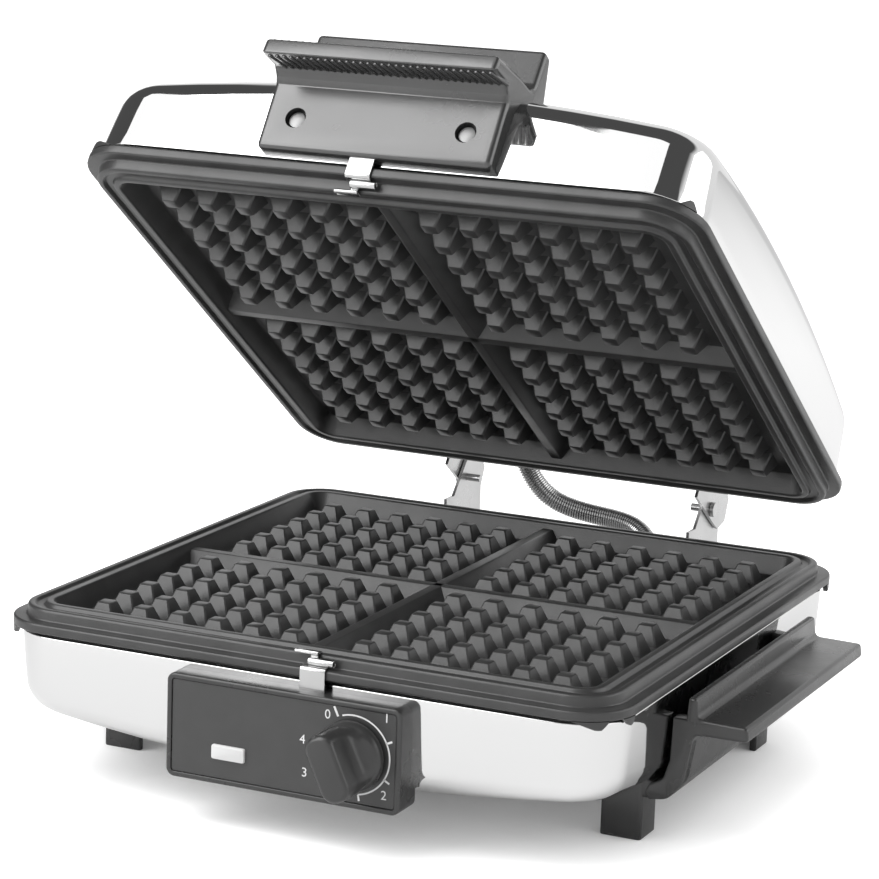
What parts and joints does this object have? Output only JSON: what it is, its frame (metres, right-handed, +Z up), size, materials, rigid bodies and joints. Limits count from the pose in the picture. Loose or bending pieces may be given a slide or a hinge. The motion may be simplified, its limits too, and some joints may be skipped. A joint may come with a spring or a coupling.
{
  "type": "double waffle maker",
  "caption": "Countertop waffle maker with hinged chrome shells, reversible non-stick waffle grids held by spring clips, side handles with legs, and a front control box with a dial.",
  "frame": {"origin": "on the table, under the middle of the box round the whole object with its lid raised as in the picture", "axes": "+X to the right of a person facing the front, front faces -Y, +Z up from the table"},
  "size_m": [0.2802, 0.2966, 0.2585],
  "materials": {
    "shell_chrome": "polished",
    "grid_coating": "satin",
    "pan_metal": "satin",
    "element_sheath": "satin",
    "spring_steel": "polished",
    "hinge_steel": "satin",
    "fastener_steel": "satin",
    "handle_plastic": "satin",
    "grip_plastic": "satin",
    "box_plastic": "gloss",
    "fascia_plate": "satin",
    "knob_plastic": "gloss",
    "lens_plastic": "gloss",
    "lamp_glass": "gloss",
    "switch_body": "matte",
    "plated_steel": "satin",
    "bush_plastic": "matte",
    "gland_rubber": "matte",
    "terminal_ceramic": "matte",
    "conduit_wire": "satin"
  },
  "bodies": {
    "base": {"base_shell": "shell_chrome", "base_pan": "pan_metal", "lower_element": "element_sheath", "lower_element_clips": "plated_steel", "lower_grid": "grid_coating", "lower_hook": "spring_steel", "control_box": "box_plastic", "control_fascia": "fascia_plate", "indicator_lens": "lens_plastic", "indicator_lamp": "lamp_glass", "thermostat": "switch_body", "thermostat_bracket": "plated_steel", "side_handle_right": "handle_plastic", "side_handle_left": "handle_plastic", "leg_screws": "fastener_steel", "base_hinge_rivets": "fastener_steel", "cord_gland": "gland_rubber", "terminal_block": "terminal_ceramic", "base_conduit_bush": "bush_plastic", "base_hinge_bracket_left": "hinge_steel", "base_hinge_bracket_right": "hinge_steel", "hinge_pin_left": "hinge_steel", "hinge_pin_right": "hinge_steel", "spring_conduit": "conduit_wire"},
    "lid": {"lid_shell": "shell_chrome", "lid_pan": "pan_metal", "upper_element": "element_sheath", "upper_element_clips": "plated_steel", "upper_grid": "grid_coating", "upper_hook": "spring_steel", "lid_handle": "grip_plastic", "lid_handle_screws": "fastener_steel", "lid_hinge_rivets": "fastener_steel", "lid_conduit_bush": "bush_plastic", "lid_hinge_bracket_left": "hinge_steel", "lid_hinge_bracket_right": "hinge_steel"},
    "knob": {"control_knob": "knob_plastic", "thermostat_shaft": "plated_steel"},
    "lower_clip_spring": {"lower_clip": "spring_steel"},
    "upper_clip_spring": {"upper_clip": "spring_steel"}
  },
  "joints": [
    {"name": "lid_hinge", "type": "hinge", "parent": "base", "child": "lid", "pos_m": [0, 0.12865, 0.069], "axis": [-1, 0, 0], "range_deg": [-35.7, 145.8], "deforming": ["spring_conduit"]},
    {"name": "control_knob_turn", "type": "hinge", "parent": "base", "child": "knob", "pos_m": [0.026, -0.12915, 0.0343], "axis": [0, 1, 0], "range_deg": [0, 295]},
    {"name": "lower_clip_flex", "type": "hinge", "parent": "base", "child": "lower_clip_spring", "pos_m": [0.0086, -0.12182, 0.0458], "axis": [1, 0, 0], "range_deg": [0, 12], "stiffness_Nm_per_rad": 0.5},
    {"name": "upper_clip_flex", "type": "hinge", "parent": "lid", "child": "upper_clip_spring", "pos_m": [-0.0036, -0.07007, 0.22214], "axis": [-1, 0, 0], "range_deg": [0, 15], "stiffness_Nm_per_rad": 0.5}
  ]
}
